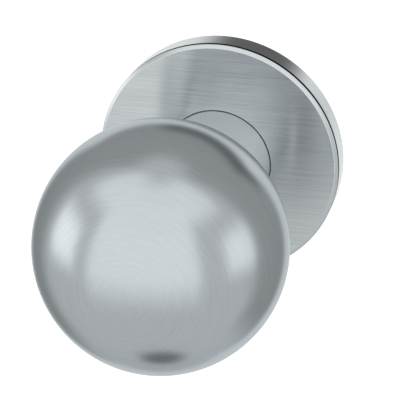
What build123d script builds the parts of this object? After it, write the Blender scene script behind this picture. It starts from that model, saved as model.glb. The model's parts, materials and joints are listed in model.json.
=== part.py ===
from build123d import *
import os
from math import cos, degrees, radians, sin, sqrt

# Ball knob on a round rose, with its spindle, for one side of a door. Millimetres.
# The door's face is the XZ plane. The spindle axis is Y and the knob points along -Y.
# "Depth" is the distance out of the door's face, so it is -Y, and is negative inside the door.
# Profiles are drawn as (radius, depth) and turned about the spindle axis.
# Plan shapes are drawn as seen from in front of the door, X to the right and Z up.

# Rose
rose_radius = 27.5
rose_face = 6.8
cover_wall = 1.0
bevel_width = 0.75
bevel_depth = 0.5
bevel_rounding = 0.25
front_rim = 0.65
groove_width = 0.75
groove_bottom_radius = 27.0
cover_edge_radius = 0.12
cover_clearance = 0.3
neck_gap = 0.1

# Ball and neck
ball_radius = 26.0
ball_centre = 52.5
shell_wall = 1.5
neck_radius = 12.2
neck_rear = 5.75
flare_radius = 3.5

# Hub and spindle
hub_radius = 9.4
hub_front = 30.0
hub_shoulder = 5.7
journal_radius = 7.5
journal_end = -3.4
journal_flats = 13.4
flats_front = 3.3
running_gap = 0.05
spindle_width = 8.0
spindle_front = 21.5
spindle_end = -44.0
spindle_bore_gap = 0.05
spindle_bore_front = 22.0
spindle_chamfer = 0.8
grub_depth = 16.0
grub_radius = 3.0
grub_hole_gap = 0.1
grub_head = 11.6
grub_thread_gap = 0.02
grub_tip_chamfer = 0.6
grub_socket = 3.0
grub_socket_depth = 3.5

# Mounting plate
plate_radius = rose_radius - cover_wall - cover_clearance
plate_front = 5.6
lug_spacing = 38.0
lug_radius = 3.75
lug_end = -8.0
lug_chamfer = 0.5
sleeve_radius = 2.6
sleeve_front = 2.0
thread_radius = 1.65
snap_wire = 0.5
snap_depth = 3.0
snap_gap_degrees = 10
snap_groove_depth = 1.1
snap_groove_gap = 0.1
pocket_inner = 19.8
pocket_outer = 24.2
pocket_front = 4.0
pocket_ranges = [(22, 58), (64, 102), (138, 158)]

# Spring chamber
chamber_radius = 14.2
chamber_front = 4.6
cassette_rear = 0.1
cassette_front = 1.1
cassette_radius = 14.9
cassette_fit = 0.1
ear_centre = 16.4
ear_radius = 2.5
ear_angles = (90, 210, 330)
boss_radius = 10.0
boss_rear = 3.4
bush_radius = 9.0
flange_radius = 11.9
flange_rear = 5.1

# Driver, spring and stops
driver_rear = 1.2
driver_front = 3.2
driver_web_front = 1.9
driver_radius = 9.8
arm_root = 8.8
tang_angle = 90
tang_half_angle = 7
tang_inner = 12.1
tang_outer = 12.9
tang_front = 4.4
post_inner = 13.1
post_outer = 14.7
post_rear = 2.1
lobe_angle = 270
lobe_half_angle = 15
lobe_outer = 13.7
turn_limit = 45
stop_gap_angle = 1
buffer_half_angle = 7
buffer_inner = 11.6
buffer_outer = 14.9
spring_wire = 0.4
spring_radius = 10.8
spring_rear = 2.45
spring_pitch = 0.82
spring_leg_end = 13.9
spring_leg_gap = 0.1

# Retaining ring and spring washer behind the plate
ring_rear = -2.0
ring_front = -1.0
ring_groove_radius = 7.0
ring_outer = 9.9
ring_gap_half_angle = 22
ring_ear_radius = 1.6
ring_ear_centre = 9.6
ring_ear_offset = 8
ring_ear_hole = 0.75
washer_gap = 0.3
washer_rise = 0.6
washer_thickness = 0.35

# Screws
wood_screw_angles = (120, 300)
wood_screw_centre = 20.5
wood_shank = 1.75
wood_head = 3.4
wood_tip = -10.0
wood_tip_length = 3.5
wood_hole = 2.0
wood_head_gap = 0.1
wood_head_sink = 0.1
cross_length = 3.6
cross_width = 0.9
cross_depth = 1.5
small_shank = 0.98
small_head = 1.9
small_front = 3.9
small_clearance = 0.05
small_thread_gap = 0.02
slot_width = 0.5
slot_depth = 0.45


def face_at(points):
    """Closed face from (radius, depth) corners."""
    return make_face(Polyline([(radius, -depth) for radius, depth in points], close=True))


def turned(profile):
    return revolve(profile, Axis.Y)


def ring(inner, outer, rear, front):
    """Plain ring about the spindle axis; a disc where inner is 0."""
    return turned(face_at([(inner, rear), (outer, rear), (outer, front), (inner, front)]))


def plan(shape, rear, front):
    """A plan shape, extruded from one depth to another."""
    return extrude(Plane.XZ.offset(rear) * shape, amount=front - rear)


def polar(radius, angle):
    return (radius * cos(radians(angle)), radius * sin(radians(angle)))


def sector(inner, outer, centre_angle, half_angle):
    """Plan shape of a piece of a ring."""
    start = centre_angle - half_angle
    end = centre_angle + half_angle
    edges = [
        CenterArc((0, 0), inner, start, 2 * half_angle),
        Line(polar(inner, end), polar(outer, end)),
        CenterArc((0, 0), outer, start, 2 * half_angle),
        Line(polar(outer, start), polar(inner, start)),
    ]
    return make_face(edges)


def at_polar(radius, angle):
    x, z = polar(radius, angle)
    return Pos(x, 0, z)


def flare_centre():
    """Centre of the flare's arc, which touches the neck's side and the ball."""
    radius = neck_radius + flare_radius
    back = sqrt((ball_radius + flare_radius) ** 2 - radius**2)
    return Vector(radius, back - ball_centre)


def flare_end():
    """Point where the flare runs into the ball."""
    towards = (flare_centre() - Vector(0, -ball_centre)).normalized()
    return Vector(0, -ball_centre) + towards * ball_radius


def ball_section(inset):
    return Pos(0, -ball_centre) * Circle(ball_radius - inset)


def knob_outline():
    """Outer profile of neck, flare and ball as one face."""
    centre = flare_centre()
    end = flare_end()
    start = Vector(neck_radius, centre.Y)
    middle = centre + ((start + end) / 2 - centre).normalized() * flare_radius
    neck_edges = [
        Line((0, -neck_rear), (neck_radius, -neck_rear)),
        Line((neck_radius, -neck_rear), start),
        ThreePointArc(start, middle, end),
        Line(end, (0, end.Y)),
        Line((0, end.Y), (0, -neck_rear)),
    ]
    one_side = Pos(ball_radius, 0) * Rectangle(2 * ball_radius, 4 * ball_centre)
    return (make_face(neck_edges) + ball_section(0)) & one_side


def knob_slice(rear, front):
    """The part of the hollow knob between two depths, as a profile."""
    band = face_at([(0, rear), (2 * ball_radius, rear), (2 * ball_radius, front), (0, front)])
    return (knob_outline() & band) - ball_section(shell_wall)


def knob_front_shell():
    return turned(knob_slice(ball_centre, ball_centre + 2 * ball_radius))


def knob_rear_shell():
    return turned(knob_slice(-flare_end().Y, ball_centre))


def grub_hole(radius, inner, outer):
    """A round hole from below, towards the spindle axis."""
    middle = Pos(0, -grub_depth, -(inner + outer) / 2)
    return middle * Cylinder(radius, outer - inner)


def knob_neck():
    body = turned(knob_slice(neck_rear, -flare_end().Y))
    body -= ring(0, hub_radius, 0, ball_centre)
    return body - grub_hole(grub_radius + grub_hole_gap, 0, 2 * neck_radius)


def journal_section(radius, flats):
    return Circle(radius) & Rectangle(2 * radius, flats)


def spindle_hub():
    profile = face_at(
        [
            (0, journal_end),
            (journal_radius, journal_end),
            (journal_radius, ring_rear - running_gap),
            (ring_groove_radius, ring_rear - running_gap),
            (ring_groove_radius, ring_front + running_gap),
            (journal_radius, ring_front + running_gap),
            (journal_radius, hub_shoulder),
            (hub_radius, hub_shoulder),
            (hub_radius, hub_front),
            (0, hub_front),
        ]
    )
    body = turned(profile)
    for side in (-1, 1):
        flat_middle = side * (journal_flats + journal_radius) / 2
        flat = Pos(0, flat_middle) * Rectangle(3 * journal_radius, journal_radius)
        body -= plan(flat, journal_end, flats_front)
    bore = spindle_width + 2 * spindle_bore_gap
    body -= plan(Rectangle(bore, bore), journal_end, spindle_bore_front)
    return body - grub_hole(grub_radius, 0, 2 * hub_radius)


def grub_screw():
    tip = spindle_width / 2
    body = grub_hole(grub_radius - grub_thread_gap, tip, grub_head)
    hexagon = RegularPolygon(grub_socket / 2, 6, major_radius=False)
    body -= Pos(0, -grub_depth, -grub_head) * extrude(hexagon, grub_socket_depth)
    return chamfer(body.edges().group_by(Axis.Z)[-1], grub_tip_chamfer)


def spindle():
    body = plan(Rectangle(spindle_width, spindle_width), spindle_end, spindle_front)
    ends = body.edges().group_by(Axis.Y)
    return chamfer(ends[0] + ends[-1], spindle_chamfer)


def rose_cover():
    """Pressed cup with a shadow groove behind its bevelled front edge."""
    groove_front = rose_face - front_rim
    groove_rear = groove_front - groove_width
    profile = face_at(
        [
            (rose_radius - cover_wall, 0),
            (rose_radius, 0),
            (rose_radius, groove_rear),
            (groove_bottom_radius, groove_rear),
            (groove_bottom_radius, groove_front),
            (rose_radius, groove_front),
            (rose_radius, rose_face - bevel_depth),
            (rose_radius - bevel_width, rose_face),
            (neck_radius + neck_gap, rose_face),
            (neck_radius + neck_gap, rose_face - cover_wall),
            (rose_radius - cover_wall, rose_face - cover_wall),
        ]
    )
    # From the front edge inwards: the bevel's outer corner, the rim's rear corner, which stays
    # sharp, the bevel's inner corner, and the rest.
    front_edge = (rose_radius, -rose_face)
    corners = profile.vertices().sort_by_distance(front_edge)
    profile = fillet(corners[3:], cover_edge_radius)
    corners = profile.vertices().sort_by_distance(front_edge)
    return turned(fillet([corners[0], corners[2]], bevel_rounding))


def cassette_outline(radius, ear):
    outline = Circle(radius)
    for angle in ear_angles:
        middle = Rot(0, 0, angle) * Pos(ear_centre / 2, 0)
        outline += middle * Rectangle(ear_centre, 2 * ear)
        outline += Rot(0, 0, angle) * Pos(ear_centre, 0) * Circle(ear)
    return outline


def cassette_plate():
    body = plan(cassette_outline(cassette_radius, ear_radius), cassette_rear, cassette_front)
    body -= ring(0, journal_radius + 2 * running_gap, cassette_rear, cassette_front)
    for angle in ear_angles:
        body -= at_polar(ear_centre, angle) * small_screw_space(small_clearance)
    return body


def small_screw_space(gap):
    """Countersunk hole or screw body of the small screws, head towards the door."""
    head = small_head + gap
    shank = small_shank + gap
    neck = cassette_rear + head - shank
    points = [(0, cassette_rear), (head, cassette_rear), (shank, neck), (shank, small_front + gap)]
    return turned(face_at(points + [(0, small_front + gap)]))


def cassette_screws():
    screws = []
    for angle in ear_angles:
        slot = plan(Rectangle(3 * small_head, slot_width), cassette_rear, cassette_rear + slot_depth)
        screws.append(at_polar(ear_centre, angle) * (small_screw_space(0) - slot))
    return screws


def wood_screws():
    """Two countersunk cross-head screws, heads away from the door."""
    front = plate_front - wood_head_sink
    neck = front - (wood_head - wood_shank)
    points = [
        (0, front),
        (wood_head, front),
        (wood_shank, neck),
        (wood_shank, wood_tip + wood_tip_length),
        (0, wood_tip),
    ]
    cross = Rectangle(cross_length, cross_width) + Rectangle(cross_width, cross_length)
    body = turned(face_at(points)) - plan(cross, front - cross_depth, front)
    return [at_polar(wood_screw_centre, angle) * body for angle in wood_screw_angles]


def sub_rose():
    body = ring(0, plate_radius, 0, plate_front)
    groove_half = snap_wire + snap_groove_gap
    groove_bottom = plate_radius - snap_groove_depth
    body -= ring(groove_bottom, rose_radius, snap_depth - groove_half, snap_depth + groove_half)
    for side in (-1, 1):
        for start, end in pocket_ranges:
            turn = 0 if side > 0 else 180
            pocket = sector(pocket_inner, pocket_outer, (start + end) / 2 + turn, (end - start) / 2)
            body -= plan(pocket, 0, pocket_front)
    body -= ring(0, chamber_radius, 0, chamber_front)
    body += ring(bush_radius, boss_radius, boss_rear, chamber_front)
    post = sector(post_inner, post_outer, tang_angle, tang_half_angle)
    body += plan(post, post_rear, chamber_front)
    for side in (-1, 1):
        body -= plan(buffer_section(side), cassette_front, chamber_front)
    recess = cassette_outline(cassette_radius + cassette_fit, ear_radius + cassette_fit)
    body -= plan(recess, 0, cassette_front)
    body -= ring(0, bush_radius, boss_rear, plate_front)
    body -= ring(0, flange_radius + running_gap, flange_rear, plate_front)
    for angle in ear_angles:
        body -= at_polar(ear_centre, angle) * small_screw_space(small_thread_gap)
    for angle in wood_screw_angles:
        body -= at_polar(wood_screw_centre, angle) * wood_screw_hole()
    for side in (-1, 1):
        lug = chamfer(ring(0, lug_radius, lug_end, 0).edges().group_by(Axis.Y)[-1], lug_chamfer)
        body += Pos(side * lug_spacing / 2, 0, 0) * lug
    for side in (-1, 1):
        body -= Pos(side * lug_spacing / 2, 0, 0) * ring(0, sleeve_radius, lug_end, sleeve_front)
    return body


def wood_screw_hole():
    """Countersunk hole right through the plate."""
    head = wood_head + wood_head_gap
    mouth = plate_front - (head - wood_hole)
    points = [(0, 0), (wood_hole, 0), (wood_hole, mouth), (head, plate_front), (0, plate_front)]
    return turned(face_at(points))


def threaded_sleeve(side):
    sleeve = ring(thread_radius, sleeve_radius, lug_end, sleeve_front)
    return Pos(side * lug_spacing / 2, 0, 0) * sleeve


def cover_snap_ring():
    radius = rose_radius - cover_wall - running_gap - snap_wire
    start = 90 + snap_gap_degrees / 2
    path = Plane.XZ.offset(snap_depth) * CenterArc((0, 0), radius, start, 360 - snap_gap_degrees)
    return sweep(Plane(path @ 0, z_dir=path % 0) * Circle(snap_wire), path)


def neck_bush():
    profile = face_at(
        [
            (journal_radius + running_gap, boss_rear),
            (bush_radius, boss_rear),
            (bush_radius, flange_rear),
            (flange_radius, flange_rear),
            (flange_radius, hub_shoulder - running_gap),
            (journal_radius + running_gap, hub_shoulder - running_gap),
        ]
    )
    return turned(profile)


def driver_plate():
    body = ring(0, driver_radius, driver_rear, driver_front)
    arm = sector(arm_root, tang_outer, tang_angle, tang_half_angle)
    body += plan(arm, driver_rear, driver_web_front)
    body += plan(sector(tang_inner, tang_outer, tang_angle, tang_half_angle), driver_rear, tang_front)
    lobe = sector(arm_root, lobe_outer, lobe_angle, lobe_half_angle)
    body += plan(lobe, driver_rear, driver_web_front)
    hole = journal_section(journal_radius + running_gap, journal_flats + 2 * running_gap)
    return body - plan(hole, driver_rear, driver_front)


def buffer_section(side):
    middle = lobe_half_angle + turn_limit + stop_gap_angle + buffer_half_angle
    return sector(buffer_inner, buffer_outer, lobe_angle + side * middle, buffer_half_angle)


def stop_buffer(side):
    return plan(buffer_section(side), cassette_front, chamber_front)


def return_spring():
    tang_half_width = tang_outer * sin(radians(tang_half_angle))
    leg_offset = tang_half_width + spring_leg_gap + spring_wire
    leg_angle = degrees(leg_offset / spring_radius)
    turns = 2 - 2 * leg_angle / 360
    coil_path = Helix(spring_pitch, turns * spring_pitch, spring_radius)
    body = sweep(Plane(coil_path @ 0, z_dir=coil_path % 0) * Circle(spring_wire), coil_path)
    leg_length = spring_leg_end - spring_radius
    leg = Pos(spring_radius + leg_length / 2, 0, 0) * Rot(0, 90, 0) * Cylinder(spring_wire, leg_length)
    leg += Pos(spring_radius, 0, 0) * Sphere(spring_wire)
    body += leg
    body += Rot(0, 0, -2 * leg_angle) * Pos(0, 0, turns * spring_pitch) * leg
    return Plane.XZ.offset(spring_rear) * Rot(0, 0, tang_angle + leg_angle) * body


def spring_washer():
    """Cone washer; its narrow end bears on the cassette plate, its rim on the retaining ring."""
    inner = journal_radius + washer_gap
    narrow_front = cassette_rear - running_gap
    rim_front = cassette_rear - washer_rise
    points = [
        (inner, narrow_front - washer_thickness),
        (ring_outer, rim_front - washer_thickness),
        (ring_outer, rim_front),
        (inner, narrow_front),
    ]
    return turned(face_at(points))


def retaining_ring():
    inner = ring_groove_radius + running_gap
    half_open = 180 - ring_gap_half_angle
    outline = sector(inner, ring_outer, 90, half_open)
    ear_turn = ring_gap_half_angle + ring_ear_offset
    ears = [polar(ring_ear_centre, 270 + side * ear_turn) for side in (-1, 1)]
    for x, z in ears:
        outline += Pos(x, z) * Circle(ring_ear_radius)
    outline -= Circle(inner)
    for x, z in ears:
        outline -= Pos(x, z) * Circle(ring_ear_hole)
    return plan(outline, ring_rear, ring_front)


def write(name, solids):
    if isinstance(solids, list):
        shape = Compound(children=solids)
    else:
        shape = solids
    export_step(shape, "parts/" + name + ".step")


def main():
    os.makedirs("parts", exist_ok=True)
    write("rose_cover", rose_cover())
    write("sub_rose", sub_rose())
    write("threaded_sleeve_left", threaded_sleeve(-1))
    write("threaded_sleeve_right", threaded_sleeve(1))
    write("cover_snap_ring", cover_snap_ring())
    write("neck_bush", neck_bush())
    write("stop_buffer_left", stop_buffer(-1))
    write("stop_buffer_right", stop_buffer(1))
    write("return_spring", return_spring())
    write("cassette_plate", cassette_plate())
    write("cassette_screws", cassette_screws())
    write("wood_screws", wood_screws())
    write("knob_front_shell", knob_front_shell())
    write("knob_rear_shell", knob_rear_shell())
    write("knob_neck", knob_neck())
    write("spindle_hub", spindle_hub())
    write("grub_screw", grub_screw())
    write("spindle", spindle())
    write("driver_plate", driver_plate())
    write("spring_washer", spring_washer())
    write("retaining_ring", retaining_ring())


main()
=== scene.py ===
import json
import math

import bmesh
import bpy
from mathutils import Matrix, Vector


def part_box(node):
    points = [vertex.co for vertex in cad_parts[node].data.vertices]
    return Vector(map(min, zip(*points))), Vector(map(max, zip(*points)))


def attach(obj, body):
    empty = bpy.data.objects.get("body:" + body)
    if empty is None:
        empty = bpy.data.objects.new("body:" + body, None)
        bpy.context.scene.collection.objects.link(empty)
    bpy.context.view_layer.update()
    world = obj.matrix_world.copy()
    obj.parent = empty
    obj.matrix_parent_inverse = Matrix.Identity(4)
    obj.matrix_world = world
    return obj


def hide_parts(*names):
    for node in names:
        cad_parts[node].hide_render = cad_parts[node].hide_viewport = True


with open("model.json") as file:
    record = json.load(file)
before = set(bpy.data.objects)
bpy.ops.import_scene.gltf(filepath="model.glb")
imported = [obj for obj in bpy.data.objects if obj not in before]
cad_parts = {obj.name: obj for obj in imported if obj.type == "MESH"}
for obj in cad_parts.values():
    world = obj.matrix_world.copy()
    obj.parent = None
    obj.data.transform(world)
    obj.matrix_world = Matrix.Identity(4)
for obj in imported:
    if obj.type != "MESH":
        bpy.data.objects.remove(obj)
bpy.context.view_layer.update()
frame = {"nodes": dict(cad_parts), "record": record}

# Ball knob on a round rose, satin stainless steel. Metres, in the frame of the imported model:
# the door's face is the XZ plane, the spindle axis is Y and the knob points along -Y.

MM = 0.001
nodes = frame["nodes"]
scene = bpy.context.scene


# ---------------------------------------------------------------- camera and surroundings

CAMERA_AZIMUTH = 14.94
CAMERA_ELEVATION = 24.27
CAMERA_DISTANCE = 0.400
CAMERA_TARGET = Vector((-5.85, 0, -15.05)) * MM
CAMERA_SENSOR = 36.0
CAMERA_LENS = 148.8
CAMERA_NEAR = 0.01
CAMERA_FAR = 50
FLOOR_HEIGHT = -0.8
FLOOR_RADIUS = 12.0
FLOOR_SIDES = 128
FLOOR_COLOUR = (0.8, 0.8, 0.8, 1)
FLOOR_GLOW = 0.55
WHITE = (1, 1, 1, 1)


def direction(azimuth, elevation):
    """Unit vector from the knob; azimuth 0 is in front of the door, positive to the right."""
    a = math.radians(azimuth)
    e = math.radians(elevation)
    return Vector((math.sin(a) * math.cos(e), -math.cos(a) * math.cos(e), math.sin(e)))


def add_camera():
    data = bpy.data.cameras.new("camera")
    data.sensor_width = CAMERA_SENSOR
    data.lens = CAMERA_LENS
    data.clip_start = CAMERA_NEAR
    data.clip_end = CAMERA_FAR
    camera = bpy.data.objects.new("camera", data)
    scene.collection.objects.link(camera)
    towards = direction(CAMERA_AZIMUTH, CAMERA_ELEVATION)
    camera.location = CAMERA_TARGET + towards * CAMERA_DISTANCE
    camera.rotation_mode = "QUATERNION"
    camera.rotation_quaternion = (-towards).to_track_quat("-Z", "Y")
    scene.camera = camera


# ---------------------------------------------------------------- node helpers


def put(tree, value, socket):
    """Links a socket, or sets a plain value."""
    if isinstance(value, bpy.types.NodeSocket):
        tree.links.new(value, socket)
    else:
        socket.default_value = value


def calc(tree, operation, *inputs):
    node = tree.nodes.new("ShaderNodeMath")
    node.operation = operation
    for socket, value in zip(node.inputs, inputs):
        put(tree, value, socket)
    return node.outputs[0]


def step(tree, value, start, end):
    """Smooth rise from 0 at start to 1 at end."""
    node = tree.nodes.new("ShaderNodeMapRange")
    node.interpolation_type = "SMOOTHSTEP"
    put(tree, value, node.inputs["Value"])
    node.inputs["From Min"].default_value = start
    node.inputs["From Max"].default_value = end
    return node.outputs["Result"]


def remap(tree, value, low, high):
    """A value of 0 to 1, spread from low to high."""
    node = tree.nodes.new("ShaderNodeMapRange")
    put(tree, value, node.inputs["Value"])
    node.inputs["To Min"].default_value = low
    node.inputs["To Max"].default_value = high
    return node.outputs["Result"]


def band(tree, value, low, high, soft):
    """1 between low and high, falling to 0 over the soft width on either side."""
    rise = step(tree, value, low - soft, low + soft)
    fall = step(tree, value, high - soft, high + soft)
    return calc(tree, "SUBTRACT", rise, fall)


def mix_value(tree, mask, low, high):
    """low where the mask is 0, high where it is 1."""
    node = tree.nodes.new("ShaderNodeMix")
    node.data_type = "FLOAT"
    put(tree, mask, node.inputs[0])
    put(tree, low, node.inputs[2])
    put(tree, high, node.inputs[3])
    return node.outputs[0]


def mix_vector(tree, mask, low, high):
    node = tree.nodes.new("ShaderNodeMix")
    node.data_type = "VECTOR"
    put(tree, mask, node.inputs[0])
    put(tree, low, node.inputs[4])
    put(tree, high, node.inputs[5])
    return node.outputs[1]


def mix_colour(tree, mask, low, high, blend="MIX"):
    node = tree.nodes.new("ShaderNodeMix")
    node.data_type = "RGBA"
    node.blend_type = blend
    put(tree, mask, node.inputs[0])
    put(tree, low, node.inputs[6])
    put(tree, high, node.inputs[7])
    return node.outputs[2]


def combine(tree, x, y, z):
    node = tree.nodes.new("ShaderNodeCombineXYZ")
    for socket, value in zip(node.inputs, (x, y, z)):
        put(tree, value, socket)
    return node.outputs[0]


def noise(tree, vector, w=None, detail=2.0, roughness=0.5):
    """Noise of 0 to 1 at a scale of 1; the vector carries the real scale."""
    node = tree.nodes.new("ShaderNodeTexNoise")
    node.noise_dimensions = "3D" if w is None else "4D"
    node.inputs["Scale"].default_value = 1.0
    node.inputs["Detail"].default_value = detail
    node.inputs["Roughness"].default_value = roughness
    put(tree, vector, node.inputs["Vector"])
    if w is not None:
        put(tree, w, node.inputs["W"])
    return node.outputs[0]


def bump(tree, height, distance, strength=1.0):
    """Normal of a surface whose height of 0 to 1 stands for a distance in millimetres."""
    node = tree.nodes.new("ShaderNodeBump")
    node.inputs["Strength"].default_value = strength
    node.inputs["Distance"].default_value = distance * MM
    put(tree, height, node.inputs["Height"])
    return node.outputs[0]


# ---------------------------------------------------------------- studio

# A soft studio: a grey room with a few large softboxes, a card and dark flags. Each has an
# azimuth range, an elevation range, the softness of its upright and of its level edges, all in
# degrees, and a brightness. Later ones cover earlier ones. Apart from the room, each was rounded
# from a fit to the reflections on a photographed knob.
ALL_ROUND = (-400, 400)
STUDIO = [
    # room, and a dark patch straight below the knob
    (ALL_ROUND, (-100, 100), 5, 10, 0.65),
    (ALL_ROUND, (-100, -80), 5, 5, 0.2),
    # dark flag all along behind the knob, and a darker one inside it, just above the horizon
    ((105, 255), (-50, 70), 10, 10, 0.4),
    ((145, 195), (10, 30), 5, 5, 0.15),
    # white card behind and below
    ((155, 220), (-60, 15), 5, 5, 0.95),
    # softboxes overhead, in front, to the left and to the right
    ((-90, 90), (40, 80), 5, 10, 1.0),
    ((-50, 50), (-20, 50), 5, 20, 1.05),
    ((-95, -65), (-10, 20), 5, 10, 1.3),
    ((75, 105), (-10, 20), 5, 10, 1.1),
]
STUDIO_TINT = (0.985, 0.996, 1.0, 1)
BACKDROP = 1.0
BEHIND_PANELS = 0.3


def panel_mask(tree, azimuth, elevation, sides, heights, soft_side, soft_height):
    mask = band(tree, elevation, *heights, soft_height)
    if sides != ALL_ROUND:
        across = band(tree, azimuth, *sides, soft_side)
        if sides[1] > 180:
            wrapped = band(tree, azimuth, sides[0] - 360, sides[1] - 360, soft_side)
            across = calc(tree, "ADD", across, wrapped)
        mask = calc(tree, "MULTIPLY", mask, across)
    return mask


def add_world():
    world = bpy.data.worlds.new("studio")
    scene.world = world
    world.use_nodes = True
    tree = world.node_tree
    tree.nodes.clear()
    coordinates = tree.nodes.new("ShaderNodeTexCoord")
    parts = tree.nodes.new("ShaderNodeSeparateXYZ")
    put(tree, coordinates.outputs["Generated"], parts.inputs[0])
    x, y, z = parts.outputs
    elevation = calc(tree, "DEGREES", calc(tree, "ARCSINE", z))
    azimuth = calc(tree, "DEGREES", calc(tree, "ARCTAN2", x, calc(tree, "MULTIPLY", y, -1)))
    level = BEHIND_PANELS
    for sides, heights, soft_side, soft_height, brightness in STUDIO:
        mask = panel_mask(tree, azimuth, elevation, sides, heights, soft_side, soft_height)
        level = mix_value(tree, mask, level, brightness)
    path = tree.nodes.new("ShaderNodeLightPath")
    level = mix_value(tree, path.outputs["Is Camera Ray"], level, BACKDROP)
    background = tree.nodes.new("ShaderNodeBackground")
    background.inputs["Color"].default_value = STUDIO_TINT
    put(tree, level, background.inputs["Strength"])
    output = tree.nodes.new("ShaderNodeOutputWorld")
    put(tree, background.outputs[0], output.inputs["Surface"])


def add_floor():
    """A wide pale floor, left out of the steel's reflections, which show the studio instead."""
    bpy.ops.mesh.primitive_circle_add(
        vertices=FLOOR_SIDES, radius=FLOOR_RADIUS, fill_type="NGON", location=(0, 0, FLOOR_HEIGHT)
    )
    floor = bpy.context.object
    floor.name = "floor"
    material = bpy.data.materials.new("floor_white")
    material.use_nodes = True
    shader = material.node_tree.nodes["Principled BSDF"]
    shader.inputs["Base Color"].default_value = FLOOR_COLOUR
    shader.inputs["Roughness"].default_value = 1.0
    shader.inputs["Emission Color"].default_value = WHITE
    shader.inputs["Emission Strength"].default_value = FLOOR_GLOW
    floor.data.materials.append(material)
    floor.visible_glossy = False


# ---------------------------------------------------------------- materials


def new_material(name):
    material = bpy.data.materials.new(name)
    material.use_nodes = True
    tree = material.node_tree
    return material, tree, tree.nodes["Principled BSDF"]


class Place:
    """Where a point lies on the object, in millimetres, as sockets."""

    def __init__(self, tree):
        coordinates = tree.nodes.new("ShaderNodeTexCoord")
        scaled = tree.nodes.new("ShaderNodeVectorMath")
        scaled.operation = "SCALE"
        put(tree, coordinates.outputs["Object"], scaled.inputs[0])
        scaled.inputs["Scale"].default_value = 1 / MM
        self.vector = scaled.outputs[0]
        parts = tree.nodes.new("ShaderNodeSeparateXYZ")
        put(tree, self.vector, parts.inputs[0])
        self.x, y, self.z = parts.outputs
        self.depth = calc(tree, "MULTIPLY", y, -1)
        self.radius = calc(tree, "SQRT", calc(
            tree,
            "ADD",
            calc(tree, "MULTIPLY", self.x, self.x),
            calc(tree, "MULTIPLY", self.z, self.z),
        ))


def stretched(tree, place, sizes):
    """Coordinates in which one unit is the given size, in millimetres, along X, Y and Z."""
    node = tree.nodes.new("ShaderNodeVectorMath")
    node.operation = "DIVIDE"
    put(tree, place.vector, node.inputs[0])
    node.inputs[1].default_value = sizes
    return node.outputs[0]


def turned_grain(tree, place, pitch, swirl, detail=2.0):
    """Fine marks round the spindle axis, as a lathe or a polishing wheel leaves them."""
    around_x = calc(tree, "MULTIPLY", calc(tree, "DIVIDE", place.x, place.radius), swirl)
    around_z = calc(tree, "MULTIPLY", calc(tree, "DIVIDE", place.z, place.radius), swirl)
    out = calc(tree, "DIVIDE", place.radius, pitch)
    vector = combine(tree, around_x, out, around_z)
    return noise(tree, vector, calc(tree, "DIVIDE", place.depth, pitch), detail, 0.6)


def straight_grain(tree, place, length, width, detail=2.0):
    """Marks of a belt drawn along X."""
    return noise(tree, stretched(tree, place, (length, width, width)), None, detail, 0.6)


def shade(colour, factor):
    return (*[min(1.0, channel * factor) for channel in colour], 1)


def radial_tangent(tree, shader, strength):
    """Spreads reflections across marks that run round the spindle axis."""
    tangent = tree.nodes.new("ShaderNodeTangent")
    tangent.direction_type = "RADIAL"
    tangent.axis = "Y"
    put(tree, tangent.outputs[0], shader.inputs["Tangent"])
    shader.inputs["Anisotropic"].default_value = strength
    shader.inputs["Anisotropic Rotation"].default_value = 0.25


STEEL = (0.586, 0.626, 0.648)
ROSE_STEEL = (0.630, 0.658, 0.672)
# The neck is the same satin steel as the ball, painted much paler: painted light on the neck.
NECK_STEEL_PAINTED_LIGHT = (0.760, 0.784, 0.796)
EDGE_TINT = (0.72, 0.75, 0.76)

# Where the finishes of the rose cover meet, in millimetres, each with a narrow blend.
FACE_DEPTH = (6.72, 6.76)
FACE_EDGE = (26.62, 26.72)
BEVEL_DEPTH = (6.14, 6.17)
GROOVE_DEPTH = (5.32, 6.17)
GROOVE_BLEND = 0.02
GROOVE_EDGE = (26.6, 26.7)
# Painted shadow: the groove is coloured near black, standing in for the shade that falls in it.
GROOVE_PAINTED_SHADOW = (0.012, 0.013, 0.014, 1)
GROOVE_ROUGHNESS = 0.8

# Grain of the satin parts: length along the mark and width across it, or pitch and swirl.
LONG_MARKS = (12.0, 0.17)
BROAD_MARKS = (26.0, 0.5)
WALL_MARKS = (0.25, 2.0)
FINE_RINGS = (0.30, 3.0)
BROAD_RINGS = (0.9, 1.6)
SMEAR = (9, 9, 9)
BALL_GRAIN_HEIGHT = 0.0008
ROSE_GRAIN_HEIGHT = 0.003
ROUGHNESS_RANGE = 0.03


def ball_steel(name, colour, roughness, contrast):
    """Satin steel with concentric polishing marks."""
    material, tree, shader = new_material(name)
    place = Place(tree)
    fine = turned_grain(tree, place, *FINE_RINGS)
    broad = turned_grain(tree, place, *BROAD_RINGS)
    smear = noise(tree, stretched(tree, place, SMEAR), None, 2)
    grain = mix_value(tree, 0.12, fine, broad)
    tone = mix_colour(tree, grain, shade(colour, 1 - contrast), shade(colour, 1 + contrast))
    put(tree, tone, shader.inputs["Base Color"])
    gloss = mix_value(tree, 0.5, grain, smear)
    rough = remap(tree, gloss, roughness - ROUGHNESS_RANGE, roughness + ROUGHNESS_RANGE)
    put(tree, rough, shader.inputs["Roughness"])
    put(tree, bump(tree, fine, BALL_GRAIN_HEIGHT), shader.inputs["Normal"])
    shader.inputs["Metallic"].default_value = 1
    shader.inputs["Specular Tint"].default_value = (*EDGE_TINT, 1)
    radial_tangent(tree, shader, 0.3)
    return material


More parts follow.
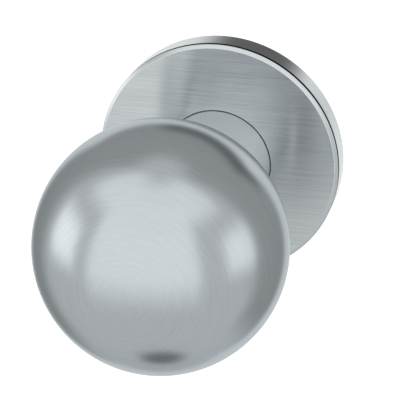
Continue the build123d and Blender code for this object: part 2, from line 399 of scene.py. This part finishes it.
def rose_steel():
    """Rose cover: straight grain across its face, polished bevel, finely turned wall."""
    material, tree, shader = new_material("rose_steel")
    place = Place(tree)
    face = calc(
        tree,
        "MULTIPLY",
        step(tree, place.depth, *FACE_DEPTH),
        calc(tree, "SUBTRACT", 1, step(tree, place.radius, *FACE_EDGE)),
    )
    bevel = calc(
        tree,
        "MULTIPLY",
        step(tree, place.depth, *BEVEL_DEPTH),
        step(tree, place.radius, *FACE_EDGE),
    )
    long_marks = straight_grain(tree, place, *LONG_MARKS, 2)
    broad_marks = straight_grain(tree, place, *BROAD_MARKS, 1)
    straight = mix_value(tree, 0.28, long_marks, broad_marks)
    turned = turned_grain(tree, place, *WALL_MARKS)
    grain = mix_value(tree, face, turned, straight)
    tone = mix_colour(tree, grain, shade(ROSE_STEEL, 0.67), shade(ROSE_STEEL, 1.33))
    mostly_bevel = calc(tree, "MULTIPLY", bevel, 0.75)
    tone = mix_colour(tree, mostly_bevel, tone, shade(ROSE_STEEL, 1.05))
    # Painted shadow in the groove between bevel and wall: a near-black colour and high roughness
    # stand in for its shade.
    groove_shadow = calc(
        tree,
        "MULTIPLY",
        band(tree, place.depth, *GROOVE_DEPTH, GROOVE_BLEND),
        step(tree, place.radius, *GROOVE_EDGE),
    )
    tone = mix_colour(tree, groove_shadow, tone, GROOVE_PAINTED_SHADOW)
    put(tree, tone, shader.inputs["Base Color"])
    polished = remap(tree, grain, 0.11, 0.15)
    satin = mix_value(tree, face, polished, remap(tree, grain, 0.18, 0.25))
    put(tree, mix_value(tree, groove_shadow, satin, GROOVE_ROUGHNESS), shader.inputs["Roughness"])
    height = calc(tree, "MULTIPLY", grain, mix_value(tree, face, 0.6, 1.0))
    put(tree, bump(tree, height, ROSE_GRAIN_HEIGHT), shader.inputs["Normal"])
    shader.inputs["Metallic"].default_value = 1
    shader.inputs["Anisotropic"].default_value = 1.0
    around = combine(tree, calc(tree, "MULTIPLY", place.z, -1), 0, place.x)
    put(tree, mix_vector(tree, face, around, (0, 0, 1)), shader.inputs["Tangent"])
    return material


def turned_metal(name, colour, roughness, pitch, contrast, depth):
    """Machined metal with feed marks round the spindle axis."""
    material, tree, shader = new_material(name)
    place = Place(tree)
    marks = turned_grain(tree, place, pitch, 1.5)
    stain = noise(tree, stretched(tree, place, (5, 5, 5)), None, 3)
    grain = mix_value(tree, 0.35, marks, stain)
    tone = mix_colour(tree, grain, shade(colour, 1 - contrast), shade(colour, 1 + contrast))
    put(tree, tone, shader.inputs["Base Color"])
    put(tree, remap(tree, grain, roughness - 0.08, roughness + 0.08), shader.inputs["Roughness"])
    put(tree, bump(tree, marks, depth), shader.inputs["Normal"])
    shader.inputs["Metallic"].default_value = 1
    return material


def drawn_metal(name, colour, other_colour, roughness, sizes, depth):
    """Plated or bare metal with marks along one direction and cloudy colour."""
    material, tree, shader = new_material(name)
    place = Place(tree)
    marks = noise(tree, stretched(tree, place, sizes), None, 2, 0.6)
    cloud = noise(tree, stretched(tree, place, (3.5, 6, 3.5)), None, 3)
    tone = mix_colour(tree, step(tree, cloud, 0.35, 0.65), shade(colour, 1), shade(other_colour, 1))
    tone = mix_colour(tree, remap(tree, marks, 0, 0.35), tone, shade(colour, 0.72))
    put(tree, tone, shader.inputs["Base Color"])
    gloss = mix_value(tree, 0.5, marks, cloud)
    put(tree, remap(tree, gloss, roughness - 0.1, roughness + 0.1), shader.inputs["Roughness"])
    put(tree, bump(tree, marks, depth), shader.inputs["Normal"])
    shader.inputs["Metallic"].default_value = 1
    return material


def cast_metal(name, colour):
    """Zinc as it leaves the die: fine pebbles, flow marks and duller patches."""
    material, tree, shader = new_material(name)
    place = Place(tree)
    pebbles = noise(tree, stretched(tree, place, (0.35, 0.35, 0.35)), None, 2)
    flow = noise(tree, stretched(tree, place, (7, 3, 2.2)), None, 4, 0.6)
    grain = mix_value(tree, 0.6, pebbles, flow)
    tone = mix_colour(tree, step(tree, grain, 0.3, 0.7), shade(colour, 0.78), shade(colour, 1.15))
    put(tree, tone, shader.inputs["Base Color"])
    put(tree, remap(tree, flow, 0.38, 0.62), shader.inputs["Roughness"])
    put(tree, bump(tree, grain, 0.02, 0.6), shader.inputs["Normal"])
    shader.inputs["Metallic"].default_value = 1
    return material


def black_oxide(name):
    """Blackened steel, thin where it has rubbed."""
    material, tree, shader = new_material(name)
    place = Place(tree)
    rub = noise(tree, stretched(tree, place, (1.4, 1.4, 1.4)), None, 4, 0.65)
    pores = noise(tree, stretched(tree, place, (0.12, 0.12, 0.12)), None, 2)
    worn = step(tree, rub, 0.56, 0.72)
    tone = mix_colour(tree, worn, (0.030, 0.031, 0.034, 1), (0.20, 0.20, 0.21, 1))
    put(tree, tone, shader.inputs["Base Color"])
    put(tree, mix_value(tree, worn, remap(tree, pores, 0.35, 0.55), 0.28), shader.inputs["Roughness"])
    put(tree, bump(tree, pores, 0.01), shader.inputs["Normal"])
    shader.inputs["Metallic"].default_value = 0.8
    return material


def moulded(name, colour, roughness, pebble, depth):
    """Plastic or rubber from a mould, with a fine skin and faint clouds."""
    material, tree, shader = new_material(name)
    place = Place(tree)
    skin = noise(tree, stretched(tree, place, (pebble, pebble, pebble)), None, 2)
    cloud = noise(tree, stretched(tree, place, (4, 4, 4)), None, 2)
    tone = mix_colour(tree, cloud, shade(colour, 0.88), shade(colour, 1.08))
    put(tree, tone, shader.inputs["Base Color"])
    put(tree, remap(tree, skin, roughness - 0.1, roughness + 0.1), shader.inputs["Roughness"])
    put(tree, bump(tree, skin, depth), shader.inputs["Normal"])
    return material


# ---------------------------------------------------------------- ball

BALL_STEPS = 72
TURN_STEPS = 192
SHELL_WALL = 1.5 * MM
POLE_LIMIT = 1e-6


def lathe(name, rings, body, material):
    """A closed turned piece from rings of (radius, depth, normal outwards, normal forwards)."""
    vertices = []
    normals = []
    starts = []
    for radius, depth, out, forward in rings:
        starts.append(len(vertices))
        for i in range(TURN_STEPS if radius > 0 else 1):
            turn = 2 * math.pi * i / TURN_STEPS
            vertices.append((radius * math.cos(turn), -depth, radius * math.sin(turn)))
            normals.append((out * math.cos(turn), -forward, out * math.sin(turn)))
    faces = []
    for k, ring in enumerate(rings):
        following = (k + 1) % len(rings)
        for i in range(TURN_STEPS):
            j = (i + 1) % TURN_STEPS
            if ring[0] > 0 and rings[following][0] > 0:
                near = starts[k]
                far = starts[following]
                faces.append((near + i, near + j, far + j, far + i))
            elif ring[0] > 0:
                faces.append((starts[k] + i, starts[k] + j, starts[following]))
            elif rings[following][0] > 0:
                faces.append((starts[k], starts[following] + j, starts[following] + i))
    mesh = bpy.data.meshes.new(name)
    mesh.from_pydata(vertices, [], faces)
    mesh.polygons.foreach_set("use_smooth", [True] * len(mesh.polygons))
    mesh.normals_split_custom_set_from_vertices(normals)
    piece = bpy.data.objects.new(name, mesh)
    scene.collection.objects.link(piece)
    mesh.materials.append(material)
    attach(piece, body)
    return piece


def arc(radius, centre_depth, start, end, facing):
    """Rings along a ball; angles in degrees from its widest ring, positive to the front."""
    rings = []
    for i in range(BALL_STEPS + 1):
        angle = math.radians(start + (end - start) * i / BALL_STEPS)
        across = math.cos(angle)
        along = math.sin(angle)
        at_pole = abs(across) < POLE_LIMIT
        rings.append((
            0 if at_pole else radius * across,
            centre_depth + radius * along,
            0 if at_pole else facing * across,
            facing * along,
        ))
    return rings


def add_ball(material):
    front_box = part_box("knob_front_shell")
    rear_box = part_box("knob_rear_shell")
    outer = front_box[1][0]
    inner = outer - SHELL_WALL
    centre = -front_box[1][1]
    rear = -rear_box[1][1] - centre
    outer_end = math.degrees(math.asin(rear / outer))
    inner_end = math.degrees(math.asin(rear / inner))
    front = arc(outer, centre, 0, 90, 1) + arc(inner, centre, 90, 0, -1)
    back = arc(inner, centre, 0, inner_end, -1) + arc(outer, centre, outer_end, 0, 1)
    for name, node, rings in (
        ("ball_front", "knob_front_shell", front),
        ("ball_rear", "knob_rear_shell", back),
    ):
        piece = lathe(name, rings, "knob", material)
        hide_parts(node)


# ---------------------------------------------------------------- wood screws

# Radii of the head, the shank and the core of the thread; lengths along the screw's axis.
SCREW_HEAD = 3.4 * MM
SCREW_SHANK = 1.75 * MM
SCREW_CORE = 1.15 * MM
SCREW_TAPER = 3.5 * MM
THREAD_CUT = 0.6 * MM
CUT_TOLERANCE = 1e-7
THREAD_START = 0.4 * MM
THREAD_RUN_IN = 0.8 * MM
THREAD_PITCH = 1.35 * MM
THREAD_FLANK = 0.27
THREAD_ROWS = 18
THREAD_COLUMNS = 40


def thread_radius(depth, turn, tip):
    """Radius of the threaded shank at a distance behind the door's face and a part of a turn."""
    taper = min(1.0, (tip - depth) / SCREW_TAPER)
    run_in = min(1.0, max(0.0, (depth - THREAD_CUT) / THREAD_RUN_IN))
    core = SCREW_SHANK + (SCREW_CORE - SCREW_SHANK) * run_in
    phase = (depth / THREAD_PITCH - turn) % 1
    ridge = max(0.0, 1 - abs(phase - 0.5) / THREAD_FLANK) * run_in
    return taper * (core + (SCREW_SHANK - core) * ridge)


def add_thread(mesh, x, z, tip):
    """Closed threaded shank with a gimlet point."""
    count = math.ceil((tip - THREAD_START) / THREAD_PITCH * THREAD_ROWS)
    rows = []
    for j in range(count):
        depth = THREAD_START + (tip - THREAD_START) * j / count
        row = []
        for i in range(THREAD_COLUMNS):
            turn = i / THREAD_COLUMNS
            radius = thread_radius(depth, turn, tip)
            angle = 2 * math.pi * turn
            place = (x + radius * math.cos(angle), depth, z + radius * math.sin(angle))
            row.append(mesh.verts.new(place))
        rows.append(row)
    point = mesh.verts.new((x, tip, z))
    for near, far in zip(rows, rows[1:]):
        for i in range(THREAD_COLUMNS):
            j = (i + 1) % THREAD_COLUMNS
            mesh.faces.new((near[i], far[i], far[j], near[j])).smooth = True
    for i in range(THREAD_COLUMNS):
        mesh.faces.new((rows[-1][i], point, rows[-1][(i + 1) % THREAD_COLUMNS])).smooth = True
    mesh.faces.new(rows[0])


def add_wood_screws(material):
    """The two wood screws, with their thread cut."""
    source = nodes["wood_screws"]
    low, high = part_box("wood_screws")
    mesh = bmesh.new()
    mesh.from_mesh(source.data)
    mesh.transform(source.matrix_world)
    cut = bmesh.ops.bisect_plane(
        mesh,
        geom=mesh.verts[:] + mesh.edges[:] + mesh.faces[:],
        dist=CUT_TOLERANCE,
        plane_co=(0, THREAD_CUT, 0),
        plane_no=(0, 1, 0),
        clear_outer=True,
    )
    rim = [item for item in cut["geom_cut"] if isinstance(item, bmesh.types.BMEdge)]
    bmesh.ops.holes_fill(mesh, edges=rim)
    x = high[0] - SCREW_HEAD
    z = high[2] - SCREW_HEAD
    for side in (-1, 1):
        add_thread(mesh, side * x, -side * z, high[1])
    data = bpy.data.meshes.new("threaded_screws")
    mesh.to_mesh(data)
    mesh.free()
    piece = bpy.data.objects.new("threaded_screws", data)
    scene.collection.objects.link(piece)
    data.materials.clear()
    data.materials.append(material)
    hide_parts("wood_screws")
    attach(piece, "rose_base")


# ---------------------------------------------------------------- build

add_camera()
add_world()
add_floor()
scene.view_settings.view_transform = "Standard"

ZINC = (0.42, 0.43, 0.44)
BRASS = (0.72, 0.52, 0.24)
SPRING_STEEL = (0.36, 0.37, 0.40)
SPRING_OIL = (0.30, 0.29, 0.30)
ACETAL = (0.83, 0.81, 0.75)
RUBBER = (0.030, 0.030, 0.032)
ZINC_PLATE = (0.62, 0.66, 0.72)
ZINC_PLATE_WARM = (0.66, 0.64, 0.56)
TURNED_STEEL = (0.50, 0.51, 0.53)

finishes = {
    "brushed_rose": rose_steel(),
    "satin_ball": ball_steel("ball_steel", STEEL, 0.19, 0.09),
    # Neck: the ball's steel with a paler colour, as painted light.
    "satin_neck": ball_steel("neck_steel_painted_light", NECK_STEEL_PAINTED_LIGHT, 0.24, 0.04),
    "die_cast": cast_metal("die_cast", ZINC),
    "sleeve_brass": turned_metal("brass", BRASS, 0.30, 0.18, 0.18, 0.004),
    "spring_steel": drawn_metal(
        "spring_steel", SPRING_STEEL, SPRING_OIL, 0.34, (0.5, 0.5, 0.5), 0.002
    ),
    "bearing_plastic": moulded("acetal", ACETAL, 0.38, 0.3, 0.004),
    "buffer_rubber": moulded("rubber", RUBBER, 0.72, 0.2, 0.02),
    "zinc_plated_steel": drawn_metal(
        "zinc_plate", ZINC_PLATE, ZINC_PLATE_WARM, 0.30, (0.25, 4, 0.25), 0.004
    ),
    "turned_steel": turned_metal("turned_steel", TURNED_STEEL, 0.30, 0.14, 0.15, 0.004),
    "black_oxide": black_oxide("black_oxide"),
}
for part in frame["record"]["subparts"]:
    node = nodes[part["node"]]
    node.data.materials.clear()
    node.data.materials.append(finishes[part["material_slot"]])
add_ball(finishes["satin_ball"])
add_wood_screws(finishes["zinc_plated_steel"])
